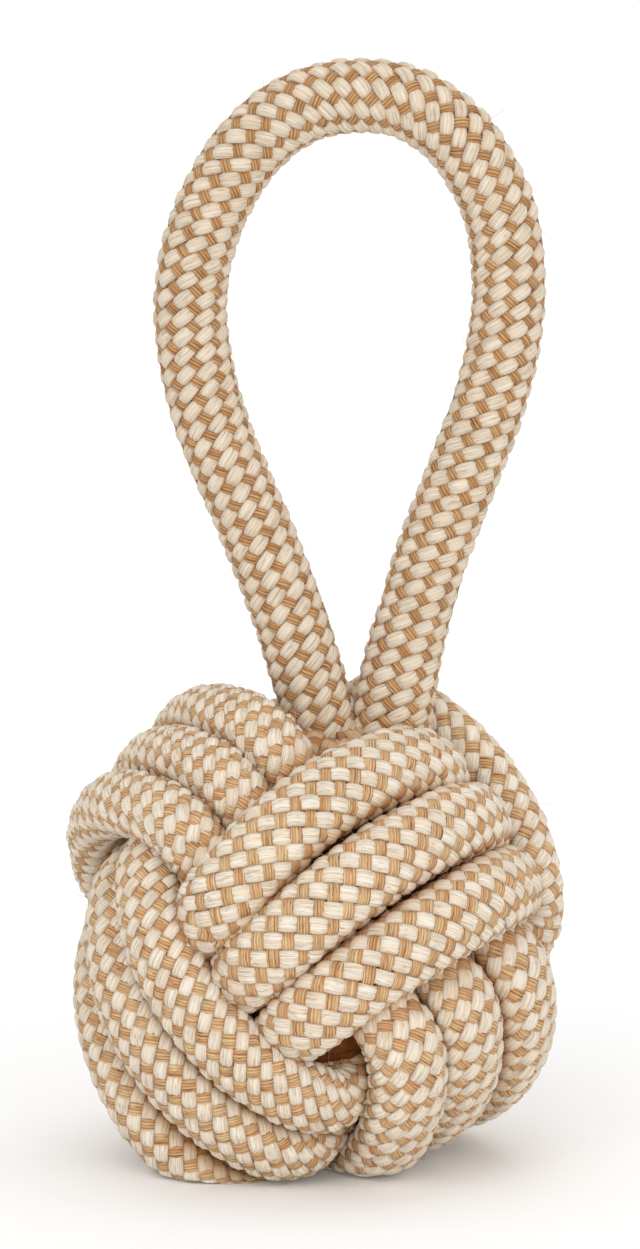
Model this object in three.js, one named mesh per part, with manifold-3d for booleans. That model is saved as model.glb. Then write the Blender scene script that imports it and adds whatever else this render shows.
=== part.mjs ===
import * as THREE from 'three';
import { mergeVertices } from 'three/addons/utils/BufferGeometryUtils.js';
import Module from 'manifold-3d';

const wasm = await Module();
wasm.setup();

// Driving dimensions, in millimetres and degrees. The ball stands on z = 0 with its front towards -Y.
const turnWidth = 14.4; // rope pressed flat in the ball: across, where it shows
const turnThickness = 9.4; // and through
const turnGap = 1.6; // between turns that lie side by side
const tuck = 3; // the rope is this much narrower where it passes under
const turnsPerBand = 3;
const bandRoom = 1.675; // how far the core holds the turns out, in spacings of the turns
const coreGap = 0.5; // from the core to the inner layer of turns
const layerGap = 1.7; // from the inner layer to the outer one
const restSink = 3.4; // the ball's round dips this far below the floor, which cuts its lowest turns flat
const knotShift = -0.25; // sideways, which puts the middle of the toy's width over x = 0
const ropeDiameter = 15; // round rope of the handle
const clearance = 0.35; // between the handle, the stubs that it turns on and the ball

// The ball's own axes: u runs up along the front turns, v across them, n out of the front.
const frontTurn = 25; // of n to the right
const frontTilt = 28.5; // of n above level
const frontLean = 26; // of u, turned about n from level

// How far each band sits off the middle on its two outer faces, along the band's own axis.
const frontBackShift = [0, 1];
const leftRightShift = [1, -1];
const topBottomShift = [-0.5, -1.5];
const fan = 0.84; // turns draw together to this share of their spacing where they pass under
const diveAngle = 48.5; // from the middle of an outer face to where a turn dives under
const diveSharpness = 5;
const faceHalfAngle = 48; // over which a turn keeps its place on an outer face
const endAngle = 26; // the two ends stop this far past the middle of the starting face
const endRun = 22; // and run straight over this much of the turn

const stepsPerTurn = 24;
const turnSides = 6;
const gapStep = 3; // degrees between the points on which a band's gap to itself is measured

// The handle's middle line, from the left leg's hinge over the top to the right leg's hinge,
// with heights from the top of the ball.
const handleRoute = [
  [-2.4, -0.9, 8],
  [-4.4, -0.6, 15],
  [-9.8, -0.2, 29.6],
  [-14.2, 0.2, 40.2],
  [-18.8, 0.5, 50.8],
  [-22.4, 0.9, 61.3],
  [-24.5, 1.2, 71.9],
  [-25.3, 1.5, 81.4],
  [-24.5, 1.9, 90.9],
  [-22, 2.2, 100.1],
  [-17.3, 2.5, 109.6],
  [-11.2, 2.7, 117.3],
  [-3.9, 2.9, 122.3],
  [3.1, 3, 124.9],
  [10.7, 3, 125.7],
  [19.1, 3, 124.3],
  [26.9, 2.8, 120.1],
  [32.2, 2.6, 115],
  [36.4, 2.4, 108.4],
  [39.6, 2.2, 100.9],
  [41.4, 1.9, 91.9],
  [41.6, 1.6, 82.4],
  [40.3, 1.2, 71.9],
  [37.6, 0.9, 61.3],
  [33.8, 0.5, 50.8],
  [30, 0.2, 40.2],
  [26.2, -0.2, 29.6],
  [22.4, -0.6, 17],
  [20.4, -0.9, 8],
];
const leftStubRoute = [[-2.4, -0.9, 8], [1, -1.2, -5], [2.2, -1.4, -16]];
const rightStubRoute = [[20.4, -0.9, 8], [18.8, -1.2, -5], [18, -1.4, -16]];
const hingeRange = 70; // of the handle, to the front and to the back
const hingeLean = 10; // the legs and stubs may already lean by up to this much
const routeSides = 12;
const handleSteps = 44;
const stubSteps = 4;
const coreSides = 32;
const coreRings = 20;
const hingeSides = 16;
const hingeRings = 12;
const mergeDistance = 1e-4;

// Sizes that follow from those above.
const turnPitch = turnWidth + turnGap;
const innerRadius = bandRoom * turnPitch + turnThickness;
const coreDiameter = 2 * (innerRadius - turnThickness / 2 - coreGap);
const outerRadius = innerRadius + turnThickness + layerGap;
const ballRadius = outerRadius + turnThickness / 2;
const knotCentre = new THREE.Vector3(knotShift, 0, ballRadius - restSink);
const ballTop = knotCentre.z + ballRadius;
const ropeRadius = ropeDiameter / 2;
const radians = THREE.MathUtils.degToRad;
const stubDrop = ropeRadius * Math.tan(radians((hingeRange + hingeLean) / 2)) + 2 * clearance;

function turned(angle, from, towards) {
  const swung = from.clone().multiplyScalar(Math.cos(radians(angle)));
  return swung.addScaledVector(towards, Math.sin(radians(angle)));
}

const up = new THREE.Vector3(0, 0, 1);
const levelAcross = turned(frontTurn, new THREE.Vector3(1, 0, 0), new THREE.Vector3(0, 1, 0));
const levelFront = turned(frontTurn, new THREE.Vector3(0, -1, 0), new THREE.Vector3(1, 0, 0));
const axisN = turned(frontTilt, levelFront, up);
const rise = turned(frontTilt, up, levelFront.clone().negate());
const axisU = turned(frontLean, levelAcross, rise);
const axisV = turned(frontLean, rise, levelAcross.clone().negate());

const cream = new THREE.Color(0xe3d5bd);
const tan = new THREE.Color(0xcdb48c);
const ropeMaterial = new THREE.MeshStandardMaterial({ color: cream, roughness: 0.95, metalness: 0 });
const bandMaterial = new THREE.MeshStandardMaterial({ color: tan, roughness: 0.95, metalness: 0 });
const coreMaterial = new THREE.MeshStandardMaterial({ color: 0x4a3f36, roughness: 0.8, metalness: 0 });

const root = new THREE.Group();

function addMesh(name, geometry, material) {
  const mesh = new THREE.Mesh(geometry, material);
  mesh.name = name;
  root.add(mesh);
  return mesh;
}

// Solids for joining and cutting

function toSolid(geometry) {
  const bare = geometry.clone();
  for (const name of Object.keys(bare.attributes)) {
    if (name !== 'position') bare.deleteAttribute(name);
  }
  const merged = mergeVertices(bare, mergeDistance);
  const vertProperties = new Float32Array(merged.attributes.position.array);
  const triVerts = new Uint32Array(merged.index.array);
  return new wasm.Manifold(new wasm.Mesh({ numProp: 3, vertProperties, triVerts }));
}

function toGeometry(solid) {
  const mesh = solid.getMesh();
  const geometry = new THREE.BufferGeometry();
  const positions = [];
  for (let i = 0; i < mesh.vertProperties.length; i += mesh.numProp) {
    positions.push(...mesh.vertProperties.slice(i, i + 3));
  }
  geometry.setAttribute('position', new THREE.Float32BufferAttribute(positions, 3));
  geometry.setIndex([...mesh.triVerts]);
  geometry.computeVertexNormals();
  return geometry;
}

function largestPart(solid) {
  const parts = solid.decompose();
  parts.sort((a, b) => b.volume() - a.volume());
  return parts[0];
}

// Core

function coreBall(diameter) {
  const ball = new THREE.SphereGeometry(diameter / 2, coreSides, coreRings);
  return ball.translate(knotCentre.x, knotCentre.y, knotCentre.z);
}

// Bands: three turns each, wound round the ball in one unbroken tube

function smooth(x) {
  const t = THREE.MathUtils.clamp(x, 0, 1);
  return t * t * (3 - 2 * t);
}

// Share of the outer layer: 0 on the inner faces, at 0 and 180 degrees, and 1 at 90 and 270.
function turnLevel(angle) {
  const height = -Math.cos(2 * angle) - Math.cos(2 * radians(diveAngle));
  return (1 + Math.tanh(diveSharpness * height)) / 2;
}

// Place along the band's own axis: steady on each outer face, moving on under the inner ones.
function turnPlace(angle, band) {
  const faces = [];
  for (let turn = 0; turn < turnsPerBand; turn += 1) {
    const place = band.winds * turnPitch * (turn - (turnsPerBand - 1) / 2);
    faces.push(place + band.shift[0], place + band.shift[1]);
  }
  const position = (angle - Math.PI / 2) / Math.PI;
  const face = THREE.MathUtils.clamp(Math.floor(position), 0, faces.length - 1);
  const next = Math.min(face + 1, faces.length - 1);
  const steady = radians(faceHalfAngle) / Math.PI;
  const moved = smooth((position - face - steady) / (1 - 2 * steady));
  const drawnIn = 1 - (1 - fan) * Math.cos(angle) ** 2;
  return drawnIn * THREE.MathUtils.lerp(faces[face], faces[next], moved);
}

function turnPoint(angle, band) {
  const radius = THREE.MathUtils.lerp(innerRadius, outerRadius, turnLevel(angle));
  const place = turnPlace(angle, band);
  const inPlane = Math.sqrt(radius * radius - place * place);
  const point = knotCentre.clone();
  point.addScaledVector(band.inner, inPlane * Math.cos(angle));
  point.addScaledVector(band.outer, inPlane * Math.sin(angle));
  point.addScaledVector(band.axis, place);
  return point;
}

function bandAngles(stepAngle) {
  const start = radians(endAngle);
  const end = 2 * Math.PI * turnsPerBand - start;
  const run = radians(endRun);
  const bends = Math.round((end - start - 2 * run) / stepAngle);
  const angles = [start];
  for (let i = 0; i <= bends; i += 1) {
    angles.push(start + run + ((end - start - 2 * run) * i) / bends);
  }
  angles.push(end);
  return angles;
}

function turnWidthAt(angle) {
  return turnWidth - tuck * (1 - turnLevel(angle));
}

// A flat six-sided section: its wide sides face the ball's middle and away from it.
function turnSection(width, thickness) {
  const section = [];
  const reach = thickness / 2 / Math.sin(Math.PI / 3);
  for (let side = 0; side < turnSides; side += 1) {
    const angle = (2 * Math.PI * side) / turnSides;
    section.push([(width / 2) * Math.cos(angle), reach * Math.sin(angle)]);
  }
  return section;
}

function windBand(band, angles, grown = 0) {
  const points = angles.map((angle) => turnPoint(angle, band));
  const positions = [];
  const index = [];
  const count = turnSides;
  points.forEach((point, i) => {
    const before = points[Math.max(i - 1, 0)];
    const after = points[Math.min(i + 1, points.length - 1)];
    const along = after.clone().sub(before).normalize();
    const outward = point.clone().sub(knotCentre);
    outward.addScaledVector(along, -outward.dot(along)).normalize();
    const side = outward.clone().cross(along);
    for (const [x, y] of turnSection(turnWidthAt(angles[i]) + grown, turnThickness + grown)) {
      const corner = point.clone().addScaledVector(side, x).addScaledVector(outward, y);
      positions.push(corner.x, corner.y, corner.z);
    }
  });
  for (let i = 0; i + 1 < points.length; i += 1) {
    for (let k = 0; k < count; k += 1) {
      const a = i * count + k;
      const b = i * count + ((k + 1) % count);
      index.push(a, b, b + count, a, b + count, a + count);
    }
  }
  const last = (points.length - 1) * count;
  for (let k = 1; k + 1 < count; k += 1) {
    index.push(0, k + 1, k);
    index.push(last, last + k, last + k + 1);
  }
  const geometry = new THREE.BufferGeometry();
  geometry.setAttribute('position', new THREE.Float32BufferAttribute(positions, 3));
  geometry.setIndex(index);
  return geometry;
}

// Least gap between the surfaces of turns that lie side by side in one band, on points.
function leastGap(band) {
  const angles = bandAngles(radians(gapStep));
  const points = angles.map((angle) => turnPoint(angle, band));
  let least = Infinity;
  for (let i = 0; i < points.length; i += 1) {
    for (let k = i + 1; k < points.length; k += 1) {
      if (angles[k] - angles[i] > Math.PI) {
        const widths = (turnWidthAt(angles[i]) + turnWidthAt(angles[k])) / 2;
        least = Math.min(least, points[i].distanceTo(points[k]) - widths);
      }
    }
  }
  return least;
}

const bands = [
  {
    name: 'front_back_turns',
    inner: axisU,
    outer: axisN.clone().negate(),
    axis: axisV,
    winds: -1,
    shift: frontBackShift,
  },
  {
    name: 'left_right_turns',
    inner: axisV.clone().negate(),
    outer: axisU.clone().negate(),
    axis: axisN,
    winds: -1,
    shift: leftRightShift,
  },
  {
    name: 'top_bottom_turns',
    inner: axisN,
    outer: axisV,
    axis: axisU,
    winds: 1,
    shift: topBottomShift,
  },
];

const floorSize = 4 * ballRadius;
const floorGeometry = new THREE.BoxGeometry(floorSize, floorSize, floorSize);
floorGeometry.translate(0, 0, -floorSize / 2);
const floor = toSolid(floorGeometry);

const angles = bandAngles((2 * Math.PI) / stepsPerTurn);
let around = toSolid(coreBall(coreDiameter + 2 * clearance));
for (const band of bands) {
  const tube = toSolid(windBand(band, angles));
  addMesh(band.name, toGeometry(tube.subtract(floor)), bandMaterial);
  around = around.add(toSolid(windBand(band, angles, 2 * clearance)));
  console.log(`${band.name}: least gap to itself ${leastGap(band).toFixed(2)} mm`);
}
addMesh('core_ball', coreBall(coreDiameter), coreMaterial);

// Handle: a round rope on two ball-shaped ends, which turn in the tops of two fixed stubs

function overBall(route) {
  return route.map(([x, y, height]) => new THREE.Vector3(x, y, ballTop + height));
}

function hingeBall(place, diameter) {
  const ball = new THREE.SphereGeometry(diameter / 2, hingeSides, hingeRings);
  return toSolid(ball.translate(place.x, place.y, place.z));
}

function roundRope(route, steps) {
  const section = new THREE.Shape();
  for (let side = 0; side < routeSides; side += 1) {
    const angle = (2 * Math.PI * side) / routeSides;
    const corner = [ropeRadius * Math.cos(angle), ropeRadius * Math.sin(angle)];
    if (side === 0) section.moveTo(...corner);
    else section.lineTo(...corner);
  }
  section.closePath();
  const extrudePath = new THREE.CatmullRomCurve3(route);
  return toSolid(new THREE.ExtrudeGeometry(section, { steps, extrudePath }));
}

function handleStub(route) {
  const hinge = route[0];
  const above = new THREE.BoxGeometry(4 * ropeDiameter, 4 * ropeDiameter, 4 * ropeDiameter);
  above.translate(hinge.x, hinge.y, hinge.z - stubDrop + 2 * ropeDiameter);
  const seat = hingeBall(hinge, ropeDiameter + 2 * clearance);
  return largestPart(roundRope(route, stubSteps).subtract(toSolid(above)).subtract(seat).subtract(around));
}

const loop = overBall(handleRoute);
const handle = roundRope(loop, handleSteps);
const ends = hingeBall(loop[0], ropeDiameter).add(hingeBall(loop[loop.length - 1], ropeDiameter));
addMesh('handle_loop', toGeometry(handle.add(ends)), ropeMaterial);
addMesh('left_leg_stub', toGeometry(handleStub(overBall(leftStubRoute))), ropeMaterial);
addMesh('right_leg_stub', toGeometry(handleStub(overBall(rightStubRoute))), ropeMaterial);

export default root;
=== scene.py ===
import math

import bpy
import numpy as np
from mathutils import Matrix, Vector


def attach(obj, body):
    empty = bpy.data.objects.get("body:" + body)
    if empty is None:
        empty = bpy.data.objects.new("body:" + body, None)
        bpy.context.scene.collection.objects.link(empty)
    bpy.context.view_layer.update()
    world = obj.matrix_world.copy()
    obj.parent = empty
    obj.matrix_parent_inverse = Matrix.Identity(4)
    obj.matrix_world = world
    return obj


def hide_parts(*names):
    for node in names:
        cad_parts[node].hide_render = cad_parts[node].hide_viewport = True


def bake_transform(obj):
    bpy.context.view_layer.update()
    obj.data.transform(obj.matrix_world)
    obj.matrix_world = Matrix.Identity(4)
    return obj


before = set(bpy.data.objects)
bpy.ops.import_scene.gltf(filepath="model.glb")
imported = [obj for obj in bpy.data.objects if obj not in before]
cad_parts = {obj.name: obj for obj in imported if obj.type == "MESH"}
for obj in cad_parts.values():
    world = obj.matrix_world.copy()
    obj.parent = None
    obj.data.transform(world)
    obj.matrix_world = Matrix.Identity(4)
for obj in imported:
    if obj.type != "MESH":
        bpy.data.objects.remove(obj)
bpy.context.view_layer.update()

mm = 0.001
scene = bpy.context.scene
scene.view_settings.view_transform = "Standard"
bpy.ops.object.select_all(action="DESELECT")

# camera: from the front, a little above level
cameraLook = {
    "aim": (2.1, -10.0, 115.9),  # mm
    "distance": 1000.0,  # mm
    "elevation": 6.5,  # degrees
    "lens": 137.25,
    "sensor": 36.0,
}


def addCamera(look):
    lift = math.radians(look["elevation"])
    away = Vector((0, -math.cos(lift), math.sin(lift)))
    data = bpy.data.cameras.new("photoCamera")
    data.lens = look["lens"]
    data.sensor_width = look["sensor"]
    camera = bpy.data.objects.new("photoCamera", data)
    camera.location = (Vector(look["aim"]) + away * look["distance"]) * mm
    camera.rotation_euler = (-away).to_track_quat("-Z", "Y").to_euler()
    scene.collection.objects.link(camera)
    scene.camera = camera


addCamera(cameraLook)
print("camera placed")

# the rope: nine cream and nine tan strands, braided one over one; sizes in mm
handleCream = {
    "count": 9,
    "hand": -1,  # which way it winds round the rope
    "width": 2.95,
    "thick": 1.9,
    "corner": 2.5,  # how square its section is
    "topPoints": 9,  # of its section, over the upper half
    "high": -0.95,  # its middle, from the rope's outside, where it floats on top
    "low": -2.6,  # and where it dips under a tan strand
    "floatShape": 1.8,  # long floats, short dips
    "yarnDepth": 0.05,  # ridges along it
    "swell": 0.06,  # wider where it floats
    "bake": 8.0,  # round it, for the layout of the baked colours
}
handleTan = {
    "count": 9,
    "hand": 1,
    "width": 2.3,
    "thick": 1.2,
    "corner": 2.8,
    "topPoints": 5,
    "high": -0.95,
    "low": -2.4,
    "floatShape": 1.2,
    "yarnDepth": 0.05,
    "swell": 0.03,
    "bake": 5.6,
}
# in the knot the braid is sheared, and each strand fills a share ("cover") of the room it has
knotCream = dict(handleCream, width=3.4, thick=1.7, corner=2.7, high=-0.85, low=-2.35)
knotCream.update(swell=0.05, cover=0.91)
knotTan = dict(handleTan, width=3.05, thick=1.1, corner=3.2, high=-0.85, low=-2.25, cover=0.9)
strandUnder = (0.25, 0.5, 0.75)  # points of a strand's section along its underside
strandWander = {  # uneven braiding: mm between changes, and their size
    "place": (7.0, 0.16),  # mm round the rope
    "height": (4.1, 0.07),  # mm
    "width": (5.3, 0.04),  # share
    "thick": (6.1, 0.05),
}
strandShift = 37.7  # mm between the fibre patterns of two strands
topShare = 0.25  # the rope's outside, as a share of the way round its section
ropeFill = {"depth": 2.4, "points": 20, "bake": 5.0}
# painted shade on the rope: how far strands, groove flanks and hidden stretches darken, carried to
# the materials in an attribute
ropeShade = {
    "strandTop": 0.35,  # mm below the rope's outside where painted shade on a strand begins
    "strandDepth": 2.3,  # mm over which that painted shade grows
    "groove": 0.75,  # how far painted shade darkens a turn's flanks in the groove beside the next turn
    "grooveEdge": 3.0,  # mm from the rope's middle to its open side, over which that ends
    "grooveDepth": 4.5,  # mm over which it grows
    "hidden": 1.75,  # how far painted shade darkens its stretches under other turns
    "hiddenFall": 1.45,  # more for a later start
}
strayFibre = {
    "length": (1.2, 4.2),
    "radius": 0.042,
    "taper": (1.2, 0.7),  # radius at the root, and how much is lost at the tip (shares)
    "root": 0.7,  # mm inside the rope
    "spread": 0.09,  # about the rope's two flanks, a share of the way round
    "stand": (0.1, 0.6),  # off the rope
    "curl": 0.9,
    "curlBack": 0.5,  # towards the rope
    "shownFrom": 0.7,  # only where the rope shows this much
    "steps": 6,
    "bake": 0.05,
}
floorPress = 2.4  # mm above the floor, below which the rope is pressed flat
bakeSheet = {"folds": 2, "endGap": 0.0075, "sideGap": 0.04}  # strips of baked colour, shares


def ease(x):
    t = np.clip(x, 0, 1)
    return t * t * (3 - 2 * t)


def unit(vectors):
    return vectors / np.linalg.norm(vectors, axis=-1, keepdims=True)


def squareTo(forward, vectors):
    # what is left of the vectors at right angles to the way forward, as unit vectors
    return unit(vectors - forward * np.sum(forward * vectors, axis=-1, keepdims=True))


def runningSum(steps):
    return np.concatenate([[0], np.cumsum(steps)])


def strandSection(strand):
    top = np.linspace(0, math.pi, strand["topPoints"])
    angle = np.concatenate([top, math.pi + np.array(strandUnder) * math.pi])
    power = 2 / strand["corner"]
    across = np.sign(np.cos(angle)) * np.abs(np.cos(angle)) ** power * strand["width"] / 2
    height = np.sign(np.sin(angle)) * np.abs(np.sin(angle)) ** power * strand["thick"] / 2
    for k in range(strand["topPoints"]):  # yarns: a ridge at each odd point
        height[k] += strand["yarnDepth"] * (1 if k % 2 else -1)
    return across, height


def wander(rng, rows, along, change):
    # slow random changes along each strand
    spacing, size = change
    knots = rng.normal(0, size, (rows, int(along[-1] / spacing) + 4))
    place = along / spacing
    left = place.astype(int)
    mix = ease(place - left)
    return knots[:, left] * (1 - mix) + knots[:, left + 1] * mix


def sectionTable(halfWidth, halfThick, roundness, points=721):
    # the rope's section: places and ways out, by the share of the way round
    angle = np.linspace(0, 2 * math.pi, points)
    c, s = np.cos(angle), np.sin(angle)
    x = halfWidth * np.sign(c) * np.abs(c) ** (2 / roundness)
    y = halfThick * np.sign(s) * np.abs(s) ** (2 / roundness)
    length = runningSum(np.hypot(np.diff(x), np.diff(y)))
    nx = np.sign(c) * np.abs(c) ** (2 - 2 / roundness) / halfWidth
    ny = np.sign(s) * np.abs(s) ** (2 - 2 / roundness) / halfThick
    size = np.hypot(nx, ny)
    return {
        "t": length / length[-1],
        "x": x,
        "y": y,
        "nx": nx / size,
        "ny": ny / size,
        "round": length[-1],
    }


def onSection(table, turn, shape):
    # a place on the rope's section and the way out of it, at a share of the way round
    share = turn - shape["crowd"] * np.sin(2 * math.pi * (turn - topShare)) / (2 * math.pi)
    share = share % 1.0
    side = np.interp(share, table["t"], table["x"])[..., None] * shape["width"]
    out = np.interp(share, table["t"], table["y"])[..., None]
    point = shape["middle"] + shape["side"] * side + shape["out"] * out
    nx = np.interp(share, table["t"], table["nx"])[..., None]
    ny = np.interp(share, table["t"], table["ny"])[..., None]
    return point, unit(shape["side"] * nx + shape["out"] * ny)


def braidStrands(strand, table, shape, ring, rng):
    along = shape["along"]
    count = strand["count"]
    index = np.arange(count)[:, None]
    turn = index / count + strand["hand"] * along / (count * ring) - shape["twist"]
    turn = turn + wander(rng, count, along, strandWander["place"]) / table["round"]
    point, normal = onSection(table, turn, shape)
    phase = 1 if strand["hand"] < 0 else -1
    wave = phase * np.cos(2 * math.pi * along / ring)
    wave = 1 - 2 * ((1 - wave) / 2) ** strand["floatShape"]
    middle = (strand["high"] + strand["low"]) / 2
    reach = (strand["high"] - strand["low"]) / 2
    offset = middle + reach * wave + wander(rng, count, along, strandWander["height"])
    centre = point + normal * offset[..., None]
    forward = unit(np.gradient(centre, axis=1))
    normal = squareTo(forward, normal)
    across = np.cross(forward, normal)
    wide = 1 + strand["swell"] * wave + wander(rng, count, along, strandWander["width"])
    if "cover" in strand:  # as wide as the room between its neighbours allows
        lead = np.cross(shape["out"], shape["side"])
        straight = np.abs(np.sum(unit(np.gradient(point, axis=1)) * lead, axis=-1))
        room = straight * table["round"] * (1 + shape["width"][:, 0]) / 2 / count
        room = room * (1 - shape["crowd"] * np.cos(2 * math.pi * (turn - topShare)))
        wide = wide * strand["cover"] * room / strand["width"]
    tall = 1 + wander(rng, count, along, strandWander["thick"])
    x, y = strandSection(strand)
    rings = centre[:, :, None, :]
    rings = rings + across[:, :, None, :] * (wide[..., None] * x)[..., None]
    rings = rings + normal[:, :, None, :] * (tall[..., None] * y)[..., None]
    # painted shade: a strand darkens the further it lies below the rope's outside
    below = -(offset[..., None] + tall[..., None] * y)
    paintedShade = np.clip((below - ropeShade["strandTop"]) / ropeShade["strandDepth"], 0, 1)
    # painted shade: flanks darken into the groove beside the next turn, not on the open side
    off = rings - shape["middle"][None, :, None]
    above = np.sum(off * shape["out"][None, :, None], axis=-1)
    beside = ease(1 - off @ shape["open"] / ropeShade["grooveEdge"])
    groove = ease((shape["grooveTop"] - above) / ropeShade["grooveDepth"])
    paintedShade = np.maximum(paintedShade, ropeShade["groove"] * beside * groove)
    # painted shade: stretches that run under other turns darken most
    hidden = (1 - shape["shown"])[None, :, None] ** ropeShade["hiddenFall"]
    paintedShade = np.maximum(paintedShade, ropeShade["hidden"] * hidden)
    fibrePlace = along + index * strandShift
    return {"rings": rings, "paintedShade": paintedShade, "along": fibrePlace, "bake": strand["bake"]}


def fillTube(table, shape):
    # the rope's own fill, seen between its strands; its dark browns are painted shade
    count = ropeFill["points"]
    turn = np.repeat(np.arange(count)[:, None] / count, len(shape["along"]), axis=1)
    point, normal = onSection(table, turn, shape)
    rings = (point - normal * ropeFill["depth"]).transpose(1, 0, 2)[None]
    paintedShade = np.ones(rings.shape[:3])
    return {"rings": rings, "paintedShade": paintedShade, "along": shape["along"][None], "bake": ropeFill["bake"]}


def strayFibres(table, shape, count, rng):
    # loose ends of fibre that stand off the rope where it shows
    shown = np.nonzero(shape["shown"] > strayFibre["shownFrom"])[0]
    pick = rng.choice(shown, count)
    spot = {key: shape[key][pick] for key in ("middle", "side", "out", "width", "crowd")}
    flank = rng.choice([0.0, 0.5], (1, count))
    turn = flank + rng.normal(0, strayFibre["spread"], (1, count))
    root, normal = onSection(table, turn, spot)
    root, normal = root[0] - normal[0] * strayFibre["root"], normal[0]
    along = np.cross(spot["out"], spot["side"])
    lean = rng.normal(0, 1, (count, 2))
    stand = normal * rng.uniform(*strayFibre["stand"], (count, 1))
    start = unit(stand + along * lean[:, :1] + spot["side"] * lean[:, 1:])
    curl = rng.normal(0, strayFibre["curl"], (count, 3)) - normal * strayFibre["curlBack"]
    reach = rng.uniform(*strayFibre["length"], (count, 1, 1))
    t = np.linspace(0, 1, strayFibre["steps"])[None, :, None]
    line = root[:, None] + reach * (start[:, None] * t + curl[:, None] * t * t * 0.5)
    forward = unit(np.gradient(line, axis=1))
    anyWay = np.array([0.31, 0.17, 0.53])  # so that no fibre runs along it
    across = unit(np.cross(forward, start[:, None] + anyWay))
    above = np.cross(across, forward)
    rootSize, lost = strayFibre["taper"]
    rings = []
    for x, y in ((1, 0), (0, 1), (-1, 0), (0, -1)):
        rings.append(line + strayFibre["radius"] * (x * across + y * above) * (rootSize - lost * t))
    rings = np.stack(rings, 2)
    length = t[:, :, 0] * reach[:, :, 0]
    paintedShade = np.zeros(rings.shape[:3])
    return {"rings": rings, "paintedShade": paintedShade, "along": length, "bake": strayFibre["bake"]}


def pressOnFloor(points):
    # the lowest stretches lie pressed flat on the floor
    z = points[:, 2]
    pressed = floorPress * np.exp(np.minimum(z - floorPress, 0) / floorPress)
    points[:, 2] = np.where(z < floorPress, pressed, z)
    return points


def buildPiece(name, groups, materials):
    # one mesh from rings of points: strands, each closed at its ends, a material for each group
    points, faces, slots, paintedShade = [], [], [], []
    strandUv, bakeUv = [], []
    base = 0
    rows = sum(g["rings"].shape[0] * g["bake"] for g in groups)
    row = 0.0
    folds, endGap, sideGap = bakeSheet["folds"], bakeSheet["endGap"], bakeSheet["sideGap"]
    for number, group in enumerate(groups):
        slot = number % len(materials)
        rings = group["rings"]
        count, steps, around = rings.shape[:3]
        points.append(pressOnFloor(rings.reshape(-1, 3)) * mm)
        paintedShade.append(group["paintedShade"].reshape(-1))
        i, j, k = np.meshgrid(
            np.arange(count), np.arange(steps - 1), np.arange(around), indexing="ij")
        nextK = (k + 1) % around
        corner = base + (i * steps + j) * around
        ahead = corner + around
        quad = np.stack([corner + k, ahead + k, ahead + nextK, corner + nextK], -1)
        faces.append(quad.reshape(-1, 4))
        v = np.broadcast_to(group["along"], (count, steps))
        low, high = v[i, j], v[i, j + 1]
        left, right = k / around, (k + 1) / around
        uv = np.stack([left, low, left, high, right, high, right, low], -1)
        strandUv.append(uv.reshape(-1, 2))
        # strips for the bake, folded so that they fill the square
        perFold = math.ceil((steps - 1) / folds)
        fold = j // perFold
        a0, a1 = (
            (place - fold * perFold) / perFold * (1 - 2 * endGap) + endGap for place in (j, j + 1))
        start = (row + i * group["bake"]) / rows
        size = group["bake"] / rows
        b0, b1 = (
            (fold + start + (sideGap + (1 - 2 * sideGap) * side) * size) / folds
            for side in (left, right))
        bakeUv.append(np.stack([a0, b0, a1, b0, a1, b1, a0, b1], -1).reshape(-1, 2))
        caps = []
        for strandIndex in range(count):
            first = base + strandIndex * steps * around
            last = first + (steps - 1) * around
            for q in range(around // 2 - 1):
                ends = [q, q + 1, around - 2 - q, around - 1 - q]
                caps.append([first + e for e in ends])
                caps.append([last + e for e in reversed(ends)])
        faces.append(np.array(caps))
        capUv = np.full((len(caps) * 4, 2), 0.001)  # the hidden ends share a corner of the sheet
        strandUv.append(capUv)
        bakeUv.append(capUv)
        slots.append(np.full(quad.size // 4 + len(caps), slot))
        base += count * steps * around
        row += count * group["bake"]
    mesh = bpy.data.meshes.new(name)
    mesh.from_pydata(np.concatenate(points).tolist(), [], np.concatenate(faces).tolist())
    for material in materials:
        mesh.materials.append(material)
    mesh.polygons.foreach_set("material_index", np.concatenate(slots).astype(np.int32))
    mesh.shade_smooth()
    for layerName, uv in (("strand", strandUv), ("OFBake", bakeUv)):
        layer = mesh.uv_layers.new(name=layerName)
        layer.uv.foreach_set("vector", np.concatenate(uv).astype(np.float32).ravel())
    # the painted shade, as a point attribute that the cotton materials read
    depth = mesh.attributes.new("paintedShade", "FLOAT", "POINT")
    depth.data.foreach_set("value", np.concatenate(paintedShade).astype(np.float32))
    mesh.update()
    piece = bpy.data.objects.new(name, mesh)
    scene.collection.objects.link(piece)
    print(name, "triangles:", 2 * len(mesh.polygons))
    return piece


# rope finishes: matte cotton, fine yarns along each strand
creamCotton = {
    "name": "creamCotton",
    "tones": [(0.82, 0.69, 0.53, 1), (0.86, 0.76, 0.62, 1), (0.88, 0.805, 0.695, 1)],
    "shade": (0.46, 0.22, 0.042, 1),  # painted shade, far down between the strands
    "yarns": 9,  # round the strand
    "yarnShade": 0.09,
    "lines": 24.0,  # fine gaps between fibres, round the strand
    "lineShade": 0.4,
    "mottle": 0.05,
}
tanCotton = {
    "name": "tanCotton",
    "tones": [(0.67, 0.345, 0.165, 1), (0.755, 0.49, 0.26, 1), (0.81, 0.61, 0.36, 1)],
    # its shade is painted shade, as for the cream
    "shade": (0.35, 0.105, 0.02, 1),
    "yarns": 15,
    "yarnShade": 0.36,
    "lines": 30.0,
    "lineShade": 0.5,
    "mottle": 0.14,
}
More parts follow.
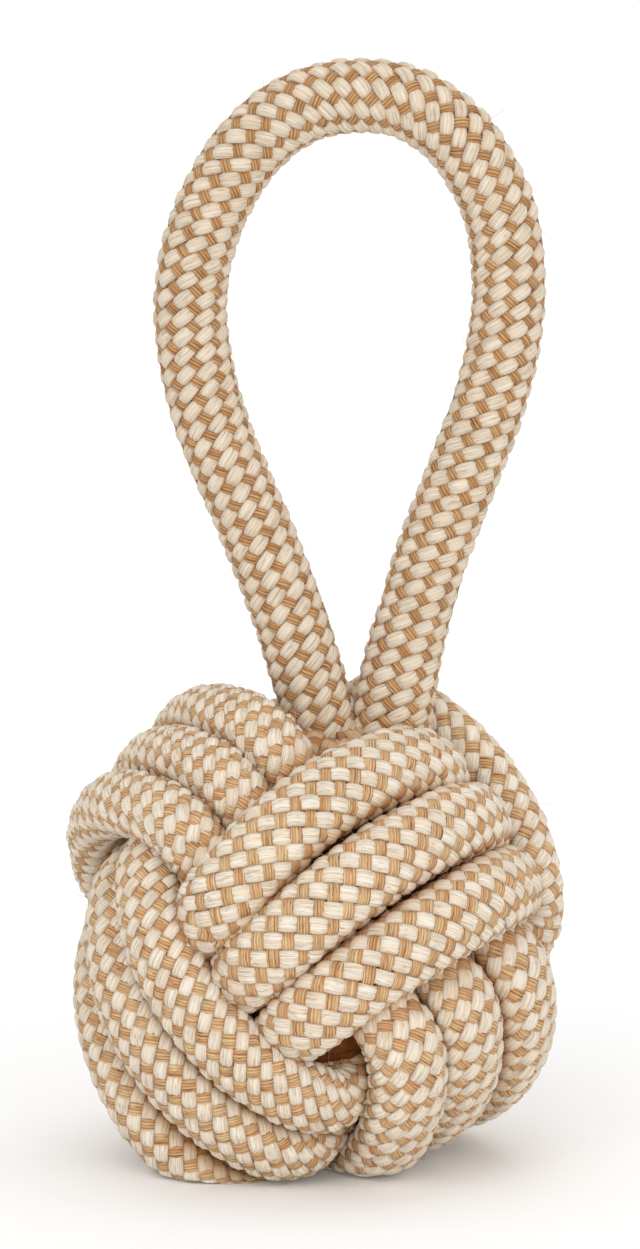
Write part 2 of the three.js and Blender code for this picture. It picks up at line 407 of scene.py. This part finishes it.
# the handle's cottons: their darker tones are painted shade, as the open handle gets more light
# than the knot
handleShadedCream = dict(creamCotton, name="handleShadedCream", lineShade=0.38)
handleShadedCream["tones"] = [
    (0.75, 0.62, 0.465, 1), (0.79, 0.675, 0.53, 1), (0.82, 0.72, 0.59, 1)]
handleShadedTan = dict(tanCotton, name="handleShadedTan", yarns=10, yarnShade=0.48, lineShade=0.42)
handleShadedTan["tones"] = [
    (0.56, 0.295, 0.13, 1), (0.63, 0.375, 0.18, 1), (0.70, 0.46, 0.235, 1)]
cottonTexture = {  # pairs: how fine a pattern is round the strand, and for each mm along it
    "fibres": (55.0, 0.9),
    "fibreStreak": 0.22,  # light and dark
    "lineAlong": 0.2,
    "lineSharp": 24.0,
    "bundles": (0.9, 0.07),  # tones, the first for each yarn
    "toneStops": (0.35, 0.5, 0.65),
    "mottleScale": 260.0,
    "shadeFade": (0.85, 1.0, 1.2),  # red, green, blue: darker streaks and the painted shade of yarn valleys and fibre gaps are warmer than the light
    "deepFall": 1.1,  # towards the painted shade between the strands
    "deepMost": 0.9,
    "pocketFall": 1.25,  # and on towards the painted shade of the pockets
    "relief": 0.55,
    "reliefHeight": 0.00026,  # m
}
pocketShade = (0.13, 0.032, 0.004, 1)  # painted shade, where the rope runs under other turns
cottonFinish = {"roughness": 0.92, "sheen": 0.06, "sheenRoughness": 0.5, "specular": 0.12}


class Nodes:
    # small helper to add and link shader nodes in order
    def __init__(self, material):
        material.use_nodes = True
        self.tree = material.node_tree
        self.shader = self.tree.nodes["Principled BSDF"]

    def add(self, kind, **values):
        node = self.tree.nodes.new(kind)
        for key, value in values.items():
            if hasattr(node, key):
                setattr(node, key, value)
            else:
                node.inputs[key].default_value = value
        return node

    def link(self, start, end):
        self.tree.links.new(start, end)

    def math(self, operation, first, second=None):
        node = self.add("ShaderNodeMath", operation=operation)
        for socket, value in zip(node.inputs, (first, second)):
            if value is None:
                continue
            if isinstance(value, (int, float)):
                socket.default_value = value
            else:
                self.link(value, socket)
        return node.outputs[0]

    def mix(self, blend, amount, first, second):
        node = self.add("ShaderNodeMix", data_type="RGBA", blend_type=blend)
        sockets = node.inputs[0], node.inputs[6], node.inputs[7]  # factor, and both colours
        for socket, value in zip(sockets, (amount, first, second)):
            if isinstance(value, (int, float, tuple)):
                socket.default_value = value
            else:
                self.link(value, socket)
        return node.outputs[2]

    def stretch(self, across, along, fine):
        # coordinates on a strand, for a pattern this fine round it and along it
        place = self.add("ShaderNodeCombineXYZ")
        for value, factor, socket in zip((across, along), fine, place.inputs):
            self.link(self.math("MULTIPLY", value, factor), socket)
        return place.outputs[0]

    def noise(self, place, scale=1.0, detail=1.0, roughness=0.5):
        node = self.add("ShaderNodeTexNoise", Scale=scale, Detail=detail, Roughness=roughness)
        self.link(place, node.inputs["Vector"])
        return node.outputs[0]

    def relief(self, height, strength, distance):
        bump = self.add("ShaderNodeBump", Strength=strength, Distance=distance)
        self.link(height, bump.inputs["Height"])
        self.link(bump.outputs[0], self.shader.inputs["Normal"])


def setFinish(shader, finish):
    shader.inputs["Roughness"].default_value = finish["roughness"]
    shader.inputs["Sheen Weight"].default_value = finish["sheen"]
    shader.inputs["Sheen Roughness"].default_value = finish["sheenRoughness"]
    shader.inputs["Specular IOR Level"].default_value = finish["specular"]


def cottonMaterial(look):
    material = bpy.data.materials.new(look["name"])
    nodes = Nodes(material)
    texture = cottonTexture
    uv = nodes.add("ShaderNodeUVMap", uv_map="strand")
    split = nodes.add("ShaderNodeSeparateXYZ")
    nodes.link(uv.outputs[0], split.inputs[0])
    across, along = split.outputs[0], split.outputs[1]
    # yarns: valleys along the strand, for the relief and for painted shade in them
    wave = nodes.math("COSINE", nodes.math("MULTIPLY", across, 2 * math.pi * look["yarns"]))
    valley = nodes.math("MULTIPLY_ADD", wave, 0.5)
    valley.node.inputs[2].default_value = 0.5
    # fibres: streaks along it, and fine gaps between some of them, dark with painted shade
    place = nodes.stretch(across, along, texture["fibres"])
    fibres = nodes.noise(place, detail=4.0, roughness=0.6)
    place = nodes.stretch(across, along, (look["lines"], texture["lineAlong"]))
    gaps = nodes.noise(place, roughness=0.4)
    nearLine = nodes.math("ABSOLUTE", nodes.math("SUBTRACT", gaps, 0.5))
    line = nodes.math("SUBTRACT", 1.0, nodes.math("MULTIPLY", nearLine, texture["lineSharp"]))
    line = nodes.math("MAXIMUM", line, 0.0)
    # each yarn has a tone of its own
    perYarn, bundleAlong = texture["bundles"]
    tones = nodes.noise(nodes.stretch(across, along, (look["yarns"] * perYarn, bundleAlong)))
    ramp = nodes.add("ShaderNodeValToRGB")
    ramp.color_ramp.elements.new(0.5)
    for stop, spot, colour in zip(ramp.color_ramp.elements, texture["toneStops"], look["tones"]):
        stop.position = spot
        stop.color = colour
    nodes.link(tones, ramp.inputs[0])
    # slow change of colour along and across the rope
    coords = nodes.add("ShaderNodeTexCoord")
    place = coords.outputs["Object"]
    mottle = nodes.noise(place, texture["mottleScale"], detail=3.0, roughness=0.55)
    mottle = nodes.math("SUBTRACT", mottle, 0.5)
    tone = nodes.math("MULTIPLY_ADD", mottle, look["mottle"] * 2)
    tone.node.inputs[2].default_value = 1.0
    streak = nodes.math("SUBTRACT", fibres, 0.5)
    streak = nodes.math("MULTIPLY_ADD", streak, texture["fibreStreak"])
    nodes.link(tone, streak.node.inputs[2])
    # tone of the fibre streaks, less painted shade in yarn valleys and fibre gaps
    fibreToneAndShade = nodes.math("SUBTRACT", streak, nodes.math("MULTIPLY", valley, look["yarnShade"]))
    fibreToneAndShade = nodes.math("SUBTRACT", fibreToneAndShade, nodes.math("MULTIPLY", line, look["lineShade"]))
    grey = nodes.add("ShaderNodeCombineXYZ")
    for socket, fade in zip(grey.inputs, texture["shadeFade"]):
        nodes.link(nodes.math("POWER", nodes.math("MAXIMUM", fibreToneAndShade, 0.0), fade), socket)
    colour = nodes.mix("MULTIPLY", 1.0, ramp.outputs[0], grey.outputs[0])
    # painted shade: darker between the strands, and darkest under other turns
    paintedShade = nodes.add("ShaderNodeAttribute", attribute_name="paintedShade").outputs["Fac"]
    fall = nodes.math("POWER", paintedShade, texture["deepFall"])
    fall = nodes.math("MULTIPLY", fall, texture["deepMost"])
    colour = nodes.mix("MIX", fall, colour, look["shade"])
    hidden = nodes.math("MULTIPLY", nodes.math("SUBTRACT", paintedShade, 1.0), texture["pocketFall"])
    colour = nodes.mix("MIX", hidden, colour, pocketShade)
    nodes.link(colour, nodes.shader.inputs["Base Color"])
    height = nodes.math("MULTIPLY_ADD", nodes.math("ADD", valley, line), -0.5)
    nodes.link(fibres, height.node.inputs[2])
    nodes.relief(height, texture["relief"], texture["reliefHeight"])
    setFinish(nodes.shader, cottonFinish)
    return material


plainRelief = {"strength": 0.3, "distance": 0.0003}  # distance in m


def plainMaterial(look):
    material = bpy.data.materials.new(look["name"])
    nodes = Nodes(material)
    coords = nodes.add("ShaderNodeTexCoord")
    grain = nodes.noise(coords.outputs["Object"], look["scale"], detail=5.0, roughness=0.6)
    colour = nodes.mix("MIX", grain, look["dark"], look["light"])
    nodes.link(colour, nodes.shader.inputs["Base Color"])
    nodes.relief(grain, **plainRelief)
    setFinish(nodes.shader, look["finish"])
    return material


# the fill's dark browns are painted shade, for the shadow between the strands
shadedFill = {
    "name": "shadedFill",
    "dark": (0.36, 0.115, 0.022, 1),
    "light": (0.58, 0.24, 0.065, 1),
    "scale": 900.0,
    "finish": dict(cottonFinish, sheen=0.0, specular=0.0),
}
looseFibre = {
    "name": "looseFibre",
    "dark": (0.42, 0.26, 0.13, 1),
    "light": (0.72, 0.58, 0.42, 1),
    "scale": 300.0,
    "finish": cottonFinish,
}
cream = cottonMaterial(creamCotton)
tan = cottonMaterial(tanCotton)
handleShadedCreamFinish = cottonMaterial(handleShadedCream)
handleShadedTanFinish = cottonMaterial(handleShadedTan)
fill = plainMaterial(shadedFill)
loose = plainMaterial(looseFibre)
print("rope materials made")

# handle: the rope's free loop, from inside the knot up one leg and down the other
handle = {
    "ballTop": 100.6,  # mm, which the heights below are from
    "radius": 8.0,
    "ring": 3.85,  # mm along the rope for one strand's next place round it
    "stepsPerRing": 7,
    "twist": 0.08,  # mm round for each mm along
    "fibres": 55,
    "baseSpread": 0.08,  # the second leg is pressed wider near the knot (share)
    "spreadFrom": 34.0,  # mm from its end
    "spreadOver": 18.0,
    "grooveTop": -9.0,  # so low that no painted groove shade shows: nothing lies beside it
    "spanPoints": 40,
    "softening": 400,  # passes that even out the route
    "pathStep": 14,  # rings from one point of the cord's path to the next
    "bend": 10.0,  # mm below and above the hinge
    "seed": 11,
    "route": [  # x, y, height: mm
        (4.4, -1.4, -16), (2.0, -1.2, -5), (-2.0, -0.9, 8), (-4.0, -0.6, 15), (-9.4, -0.2, 29.6),
        (-14.0, 0.2, 40.2), (-18.7, 0.5, 50.8), (-22.4, 0.9, 61.3), (-24.5, 1.2, 71.9),
        (-25.3, 1.5, 81.4), (-24.3, 1.9, 90.9), (-21.6, 2.2, 100.0), (-16.9, 2.5, 109.4),
        (-11.0, 2.7, 117.1), (-3.9, 2.9, 122.3), (3.1, 3.0, 124.9), (10.7, 3.0, 125.7),
        (19.3, 3.0, 124.8), (27.2, 2.8, 120.5), (32.6, 2.6, 115.3), (36.8, 2.4, 108.6),
        (40.2, 2.2, 101.0), (41.8, 1.9, 91.9), (41.9, 1.6, 82.4), (40.6, 1.2, 71.9),
        (37.8, 0.9, 61.3), (34.0, 0.5, 50.8), (30.0, 0.2, 40.2), (25.9, -0.2, 29.6),
        (22.3, -0.6, 17.0), (19.8, -0.9, 8.0), (17.4, -1.2, -5), (16.6, -1.4, -16),
    ],
}


def smoothLine(points, perSpan):
    # a curve through the points, eased at both ends
    points = np.vstack([2 * points[0] - points[1], points, 2 * points[-1] - points[-2]])
    t = np.linspace(0, 1, perSpan, endpoint=False)[:, None]
    spans = []
    for a, b, c, d in zip(points[:-3], points[1:-2], points[2:-1], points[3:]):
        spans.append(0.5 * (2 * b + (c - a) * t + (2 * a - 5 * b + 4 * c - d) * t ** 2
                            + (3 * b - a - 3 * c + d) * t ** 3))
    return np.vstack(spans + [points[-2:-1]])


def lengthAlong(line):
    return runningSum(np.linalg.norm(np.diff(line, axis=0), axis=1))


def resample(line, length, places):
    return np.stack([np.interp(places, length, line[:, axis]) for axis in range(3)], 1)


def soften(line, passes):
    line = line.copy()
    for _ in range(passes):
        line[1:-1] = 0.25 * line[:-2] + 0.5 * line[1:-1] + 0.25 * line[2:]
    return line


def handleShape():
    route = np.array(handle["route"], float)
    route[:, 2] += handle["ballTop"]
    line = soften(smoothLine(route, handle["spanPoints"]), handle["softening"])
    length = lengthAlong(line)
    total = length[-1]
    places = np.arange(0, total, handle["ring"] / handle["stepsPerRing"])
    middle = resample(line, length, places)
    forward = unit(np.gradient(middle, axis=0))
    out = squareTo(forward, np.array([0.0, -1.0, 0.0]))  # to the front
    spread = ease((places - total + handle["spreadFrom"]) / handle["spreadOver"])
    shape = {
        "middle": middle,
        "side": np.cross(forward, out),
        "out": out,
        "along": places,
        "width": 1 + handle["baseSpread"] * spread[:, None],
        "shown": np.ones(len(places)),
        "crowd": np.zeros(len(places)),
        "grooveTop": handle["grooveTop"],
        "open": np.zeros(3),
        "twist": handle["twist"] * places / (2 * math.pi * handle["radius"]),
    }
    return shape, total


def buildHandle():
    shape, total = handleShape()
    rng = np.random.default_rng(handle["seed"])
    table = sectionTable(handle["radius"], handle["radius"], roundness=2.0)
    creamGroup = braidStrands(handleCream, table, shape, handle["ring"], rng)
    tanGroup = braidStrands(handleTan, table, shape, handle["ring"], rng)
    inside = fillTube(table, shape)
    creamPiece = buildPiece("handle_cream_strands", [creamGroup], [handleShadedCreamFinish])
    fibres = strayFibres(table, shape, handle["fibres"], rng)
    groups = [tanGroup, inside, fibres]
    tanPiece = buildPiece("handle_tan_strands", groups, [handleShadedTanFinish, fill, loose])
    for piece in (creamPiece, tanPiece):
        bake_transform(piece)
        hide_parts("handle_loop", "left_leg_stub", "right_leg_stub")
    path = shape["middle"][::handle["pathStep"]] * mm
    path = np.vstack([path, shape["middle"][-1:] * mm])
    print("handle rope, mm long:", round(total, 1))


buildHandle()

# knot: three bands of three turns each, over and under one another
knot = {
    "centre": (-0.25, 0.0, 48.6),  # mm
    "turn": 25.0,  # degrees, of the front's own axis to the right
    "tilt": 28.5,  # of it above level
    "lean": 27.2,  # of the front turns, from level
    "innerRadius": 35.8,  # of the rope's middle, where it runs under
    "outerRadius": 45.8,  # and where it runs over
    "halfWidth": 8.2,  # the rope's section, pressed flatter than the handle's
    "halfThick": 6.6,
    "roundness": 2.15,
    "girth": 47.5,
    "ring": 5.05,  # mm along the rope for one strand's next place round it
    "stepsSeen": 7,  # to a ring
    "stepsHidden": 4,
    "stepsEase": 3.0,  # how soon the finer steps begin
    "linePoints": 1500,  # on each turn's line
    "fan": 0.84,  # of their spread that the turns keep where they run under
    "diveSharpness": 8.5,
    "faceHalf": 48.0,  # degrees each way over which a turn keeps to its face
    "endAngle": 26.0,  # left off at both ends of a band
    "tuck": 0.8,  # width of the hidden stretches
    "fibres": 200,  # on each turn
    "seed": 5,
}


def turned(angle, start, towards):
    return math.cos(math.radians(angle)) * start + math.sin(math.radians(angle)) * towards


# the knot's own axes: along the front turns, across them, and out of the front
axisX, axisY, axisZ = np.eye(3)
levelAcross = turned(knot["turn"], axisX, axisY)
levelFront = turned(knot["turn"], -axisY, axisX)
steep = turned(knot["tilt"], axisZ, -levelFront)
axisU = turned(knot["lean"], levelAcross, steep)
axisV = turned(knot["lean"], steep, -levelAcross)
axisN = turned(knot["tilt"], levelFront, axisZ)


def face(place, slant=0.0, bow=0.0, lift=0.0, rise=0.0, wide=1.0, pitch=1.0,
         twist=0.0, crowd=0.0, dive=(51.5, 51.5)):
    # a turn on one face: its place across the band (mm), how that changes along it (mm a radian,
    # mm a radian squared), its lift off the ball (mm), how that changes, the rope's width and the
    # braid's pitch (shares), its twist (mm round for each mm along), how far its strands crowd
    # together on the outside (share) and where both ends dive (degrees)
    return {
        "place": place, "slant": slant, "bow": bow, "lift": lift, "rise": rise, "wide": wide,
        "pitch": pitch, "twist": twist, "crowd": crowd, "diveStart": dive[0], "diveEnd": dive[1],
    }


frontBackTurns = {
    "node": "front_back_turns",
    "grooveTop": 4.6,  # mm above the rope's middle where painted shade on its flanks begins
    "inner": axisU,  # where the turns run under
    "outer": -axisN,  # where their first faces are
    "axis": axisV,  # from turn to turn
    "first": [face(17.4), face(1.0), face(-15.6)],  # back
    "second": [  # front, left end to right end
        face(17.9, slant=-2.0, bow=-7.9, lift=1.4, wide=1.1, pitch=0.96, twist=-0.16, crowd=0.16,
             dive=(54.0, 47.0)),
        face(0.3, slant=-1.5, bow=-4.5, lift=0.3, wide=1.03, pitch=0.92, twist=-0.13,
             dive=(54.0, 50.0)),
        face(-16.7, slant=-1.5, bow=-3.0, lift=0.8, wide=1.05, pitch=0.93, twist=-0.01,
             dive=(53.5, 51.0)),
    ],
}
leftRightTurns = {
    "node": "left_right_turns",
    "grooveTop": 2.5,
    "inner": -axisV,
    "outer": -axisU,
    "axis": axisN,
    "first": [  # left, bottom end to top end
        face(18.6, lift=0.8, rise=-1.0, wide=1.03, pitch=0.85, twist=0.17, crowd=0.06,
             dive=(54.0, 53.0)),
        face(1.4, lift=1.2, rise=-5.0, wide=1.07, pitch=0.87, twist=-0.04, dive=(53.0, 53.0)),
        face(-16.4, lift=4.3, rise=-12.0, wide=1.07, pitch=0.87, twist=-0.04, dive=(49.5, 53.0)),
    ],
    "second": [  # right, top end to bottom end
        face(18.0, lift=5.4, rise=-4.2, dive=(46.5, 45.5)),
        face(0.8, lift=4.6, rise=-2.5, wide=1.06, dive=(51.5, 55.0)),
        face(-16.4, lift=4.0, rise=-2.5, wide=1.06, dive=(51.5, 55.0)),
    ],
}
topBottomTurns = {
    "node": "top_bottom_turns",
    "grooveTop": 3.4,
    "inner": axisN,
    "outer": axisV,
    "axis": axisU,
    "first": [  # top, front end to back end
        face(-21.5, slant=9.0, lift=4.9, wide=0.9, twist=0.2, crowd=0.17, dive=(54.0, 51.5)),
        face(-7.5, slant=9.0, lift=3.6, wide=0.88, twist=0.2, crowd=0.17, dive=(54.0, 51.5)),
        face(5.8, slant=9.0, lift=5.7, wide=0.9, twist=0.2, crowd=0.17, dive=(54.0, 51.5)),
    ],
    "second": [  # bottom, back end to front end
        face(-18.0, lift=3.9, wide=1.05, pitch=1.1, twist=0.03, crowd=0.16, dive=(51.5, 54.0)),
        face(-0.4, lift=1.6, wide=1.05, pitch=1.1, twist=0.03, crowd=0.16, dive=(51.5, 54.0)),
        face(18.4, lift=6.0, rise=-4.0, wide=1.12, pitch=1.1, twist=0.03, crowd=0.16,
             dive=(51.5, 52.0)),
    ],
}


def turnLine(band, angle):
    # at each angle round the band: the rope's middle, how far it is on the outside, and its braid
    faces = [f for pair in zip(band["first"], band["second"]) for f in pair]
    value = {key: np.array([f[key] for f in faces]) for key in faces[0]}
    position = (angle - math.pi / 2) / math.pi
    this = np.clip(np.floor(position), 0, len(faces) - 1).astype(int)
    after = np.minimum(this + 1, len(faces) - 1)
    steady = knot["faceHalf"] / 180
    moved = ease((position - this - steady) / (1 - 2 * steady))
    half = math.radians(knot["faceHalf"])
    place, lift = 0, 0
    rope = dict.fromkeys(("wide", "pitch", "twist", "crowd"), 0)
    for number, share in ((this, 1 - moved), (after, moved)):
        way = np.clip((position - number) * math.pi, -half, half)
        place = place + share * (value["place"][number] + value["slant"][number] * way
                                 + value["bow"][number] * way ** 2)
        lift = lift + share * (value["lift"][number] + value["rise"][number] * way)
        rope = {key: rope[key] + share * value[key][number] for key in rope}
    place = place * (1 - (1 - knot["fan"]) * np.cos(angle) ** 2)
    near = np.clip(np.round(position), 0, len(faces) - 1).astype(int)
    way = (position - near) * math.pi
    dive = np.radians(np.where(way < 0, value["diveStart"][near], value["diveEnd"][near]))
    outside = (1 + np.tanh(knot["diveSharpness"] * (dive - np.abs(way)))) / 2
    radius = knot["innerRadius"] + (knot["outerRadius"] + lift - knot["innerRadius"]) * outside
    inPlane = np.sqrt(radius ** 2 - place ** 2)
    line = np.array(knot["centre"]) + np.outer(inPlane * np.cos(angle), band["inner"])
    line = line + np.outer(inPlane * np.sin(angle), band["outer"]) + np.outer(place, band["axis"])
    rope["wide"] = rope["wide"] * (knot["tuck"] + (1 - knot["tuck"]) * outside)
    return line, outside, rope


def turnShape(band, turn):
    whole, leftOff = 2 * math.pi, math.radians(knot["endAngle"])
    start = max(whole * turn, leftOff)
    end = min(whole * (turn + 1), whole * len(band["first"]) - leftOff)
    line, outside, rope = turnLine(band, np.linspace(start, end, knot["linePoints"]))
    forward = unit(np.gradient(line, axis=0))
    out = squareTo(forward, line - np.array(knot["centre"]))
    # the braid keeps its pitch along the outside, with finer steps where it shows
    step = np.diff(lengthAlong(line + out * knot["halfThick"])) / rope["pitch"][1:]
    length = runningSum(step)
    turns = runningSum(step * rope["twist"][1:]) / knot["girth"]
    finer = (knot["stepsSeen"] - knot["stepsHidden"]) * ease(outside * knot["stepsEase"])
    rate = (knot["stepsHidden"] + finer) / knot["ring"]
    steps = runningSum(0.5 * (rate[1:] + rate[:-1]) * np.diff(length))
    places = np.interp(np.arange(0, steps[-1]), steps, length)
    middle = resample(line, length, places)
    forward = unit(np.gradient(middle, places, axis=0))
    out = squareTo(forward, resample(out, length, places))
    # the middle turn has a turn on each side, the other two have one open side
    openSide = 0 if turn == 1 else np.sign(band["second"][turn]["place"])
    return {
        "middle": middle,
        "side": np.cross(forward, out),
        "out": out,
        "along": places,
        "width": np.interp(places, length, rope["wide"])[:, None],
        "shown": np.interp(places, length, outside),
        "crowd": np.interp(places, length, rope["crowd"]),
        "grooveTop": band["grooveTop"],
        "open": band["axis"] * openSide,
        "twist": np.interp(places, length, turns),
    }


def buildKnot():
    table = sectionTable(knot["halfWidth"], knot["halfThick"], knot["roundness"])
    rng = np.random.default_rng(knot["seed"])
    for band in (frontBackTurns, leftRightTurns, topBottomTurns):
        for turn in range(len(band["first"])):
            shape = turnShape(band, turn)
            shape["twist"] = shape["twist"] + rng.uniform(0, 1)
            creamGroup = braidStrands(knotCream, table, shape, knot["ring"], rng)
            tanGroup = braidStrands(knotTan, table, shape, knot["ring"], rng)
            inside = fillTube(table, shape)
            fibres = strayFibres(table, shape, knot["fibres"], rng)
            name = band["node"][:-1] + "_" + str(turn + 1)
            groups = [creamGroup, tanGroup, inside, fibres]
            piece = buildPiece(name, groups, [cream, tan, fill, loose])
            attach(piece, "knot")
            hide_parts(band["node"])


buildKnot()
print("knot wound")

# inner turns: the rope that shows in the pockets where three bands meet, darkened there with
# painted shade
innerTurns = {
    "reach": 0.42,  # radians each way
    "steps": 6,  # to a ring
    "bake": 0.25,  # of the room that the outer turns have
    "seed": 23,
    "corner": 36.8,  # mm from the middle of the ball
    "besideLegs": [  # place (u, v, n), way, mm from the middle, reach, how far it shows, which sets its painted shade
        ((0.27, 0.84, 0.48), (0, 0, 1), 39.5, 0.42, 0.45),
        ((0.54, 0.28, 0.79), (0, 1, 0), 40.0, 0.42, 0.45),
        ((0.41, 0.88, -0.22), (0, 0, 1), 44.0, 0.66, 1.0),
    ],
}


def innerShape(middle, way, radius, reach, shown, twist):
    # a short stretch of rope round the ball, through one place and one way
    middle = unit(middle)
    way = squareTo(middle, way)
    step = knot["ring"] / innerTurns["steps"] / radius
    angle = np.arange(-reach, reach, step)[:, None]
    out = np.cos(angle) * middle + np.sin(angle) * way
    forward = np.cos(angle) * way - np.sin(angle) * middle
    return {
        "middle": np.array(knot["centre"]) + radius * out,
        "side": np.cross(forward, out),
        "out": out,
        "along": (angle[:, 0] + reach) * radius,
        "width": np.ones((len(angle), 1)),
        "shown": np.full(len(angle), shown),
        "crowd": np.zeros(len(angle)),
        "grooveTop": 0.0,
        "open": np.zeros(3),
        "twist": twist,
    }


def buildInnerTurns():
    rng = np.random.default_rng(innerTurns["seed"])
    table = sectionTable(knot["halfWidth"], knot["halfThick"], knot["roundness"])
    axes = np.array([axisU, axisV, axisN])
    places = []
    for corner in range(8):  # where three bands meet
        signs = np.array([1.0 if corner >> bit & 1 else -1.0 for bit in range(3)])
        way = np.cross(signs @ axes, axisV)
        # the corners show none of their rope, so they take the darkest painted shade
        places.append((signs @ axes, way, innerTurns["corner"], innerTurns["reach"], 0.0))
    for spot, way, radius, reach, shown in innerTurns["besideLegs"]:
        places.append((np.array(spot) @ axes, np.array(way) @ axes, radius, reach, shown))
    groups = []
    for middle, way, radius, reach, shown in places:
        shape = innerShape(middle, way, radius, reach, shown, rng.uniform(0, 1))
        for strand in (knotCream, knotTan):
            group = braidStrands(strand, table, shape, knot["ring"], rng)
            groups.append(dict(group, bake=group["bake"] * innerTurns["bake"]))
    piece = buildPiece("inner_turns", groups, [cream, tan])
    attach(piece, "knot")


buildInnerTurns()
print("inner turns made")

# inner rope: what shows far down between the turns, coloured in dark browns that are painted shade
shadedInnerRope = {
    "name": "shadedInnerRope",
    "radius": 38.5,  # mm
    "subdivisions": 6,
    "lumps": 3.2,  # mm high
    "lumpSize": 12.0,  # mm
    "dark": (0.2, 0.052, 0.008, 1),
    "light": (0.42, 0.15, 0.032, 1),
    "scale": 700.0,
    "finish": dict(cottonFinish, sheen=0.0, specular=0.0),
}


def buildInnerRope():
    bpy.ops.object.select_all(action="DESELECT")
    centre = [c * mm for c in knot["centre"]]
    bpy.ops.mesh.primitive_ico_sphere_add(
        subdivisions=shadedInnerRope["subdivisions"], radius=shadedInnerRope["radius"] * mm, location=centre)
    piece = bpy.context.object
    piece.name = "inner_rope_layer"
    bpy.ops.object.transform_apply(location=True, rotation=True, scale=True)
    lumps = bpy.data.textures.new("ropeLumps", "CLOUDS")
    lumps.noise_scale = shadedInnerRope["lumpSize"] * mm
    shape = piece.modifiers.new("lumps", "DISPLACE")
    shape.texture = lumps
    shape.strength = shadedInnerRope["lumps"] * mm
    bpy.ops.object.modifier_apply(modifier="lumps")
    piece.data.shade_smooth()
    piece.data.materials.append(plainMaterial(shadedInnerRope))
    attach(piece, "knot")


buildInnerRope()
print("inner rope layer made")

# core: hidden inside, its CAD form is right
coreRubber = {
    "name": "coreRubber",
    "dark": (0.05, 0.04, 0.032, 1),
    "light": (0.10, 0.08, 0.062, 1),
    "scale": 420.0,
    "finish": {"roughness": 0.75, "sheen": 0.0, "sheenRoughness": 0.5, "specular": 0.35},
}
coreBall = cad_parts["core_ball"]
coreBall.data.materials.clear()
coreBall.data.materials.append(plainMaterial(coreRubber))
print("core finished")

# stage: pale floor, even soft light
stage = {
    "floor": 40.0,  # m
    "floorColour": (0.97, 0.97, 0.97, 1),
    "floorRoughness": 0.9,
    "floorGlow": 0.06,  # to the camera only
    "world": 0.7,  # its light; the camera sees it white
}
lamps = [
    {"name": "keyLamp", "from": (-0.35, -0.9, 0.75), "softness": 40.0, "strength": 0.6},
    {"name": "fillLamp", "from": (0.7, -0.8, 0.3), "softness": 50.0, "strength": 0.2},
    {"name": "topLamp", "from": (0.1, 0.3, 1.0), "softness": 50.0, "strength": 0.45},
    {"name": "lowLamp", "from": (0.25, -1.0, 0.03), "softness": 60.0, "strength": 1.3},
]


def addStage():
    bpy.ops.object.select_all(action="DESELECT")
    bpy.ops.mesh.primitive_plane_add(size=stage["floor"], location=(0, 0, 0))
    floor = bpy.context.object
    floor.name = "studioFloor"
    material = bpy.data.materials.new("paleFloor")
    nodes = Nodes(material)
    nodes.shader.inputs["Base Color"].default_value = stage["floorColour"]
    nodes.shader.inputs["Roughness"].default_value = stage["floorRoughness"]
    nodes.shader.inputs["Specular IOR Level"].default_value = 0.0
    # white to the camera only, so that it lights nothing
    nodes.shader.inputs["Emission Color"].default_value = (1, 1, 1, 1)
    floorPath = nodes.add("ShaderNodeLightPath")
    glow = nodes.math("MULTIPLY", floorPath.outputs["Is Camera Ray"], stage["floorGlow"])
    nodes.link(glow, nodes.shader.inputs["Emission Strength"])
    floor.data.materials.append(material)
    world = bpy.data.worlds.new("studioWorld")
    scene.world = world
    world.use_nodes = True
    tree = world.node_tree
    background = tree.nodes["Background"]
    path = tree.nodes.new("ShaderNodeLightPath")
    seen = tree.nodes.new("ShaderNodeMath")
    seen.operation = "MAXIMUM"
    tree.links.new(path.outputs["Is Camera Ray"], seen.inputs[0])
    tree.links.new(path.outputs["Is Glossy Ray"], seen.inputs[1])
    strength = tree.nodes.new("ShaderNodeMapRange")
    strength.inputs["To Min"].default_value = stage["world"]
    strength.inputs["To Max"].default_value = 1.0
    tree.links.new(seen.outputs[0], strength.inputs["Value"])
    tree.links.new(strength.outputs[0], background.inputs["Strength"])
    background.inputs["Color"].default_value = (1, 1, 1, 1)
    for lamp in lamps:
        data = bpy.data.lights.new(lamp["name"], "SUN")
        data.angle = math.radians(lamp["softness"])
        data.energy = lamp["strength"]
        light = bpy.data.objects.new(lamp["name"], data)
        light.location = lamp["from"]
        light.rotation_euler = (-light.location).to_track_quat("-Z", "Y").to_euler()
        scene.collection.objects.link(light)


addStage()
print("stage and lamps set")
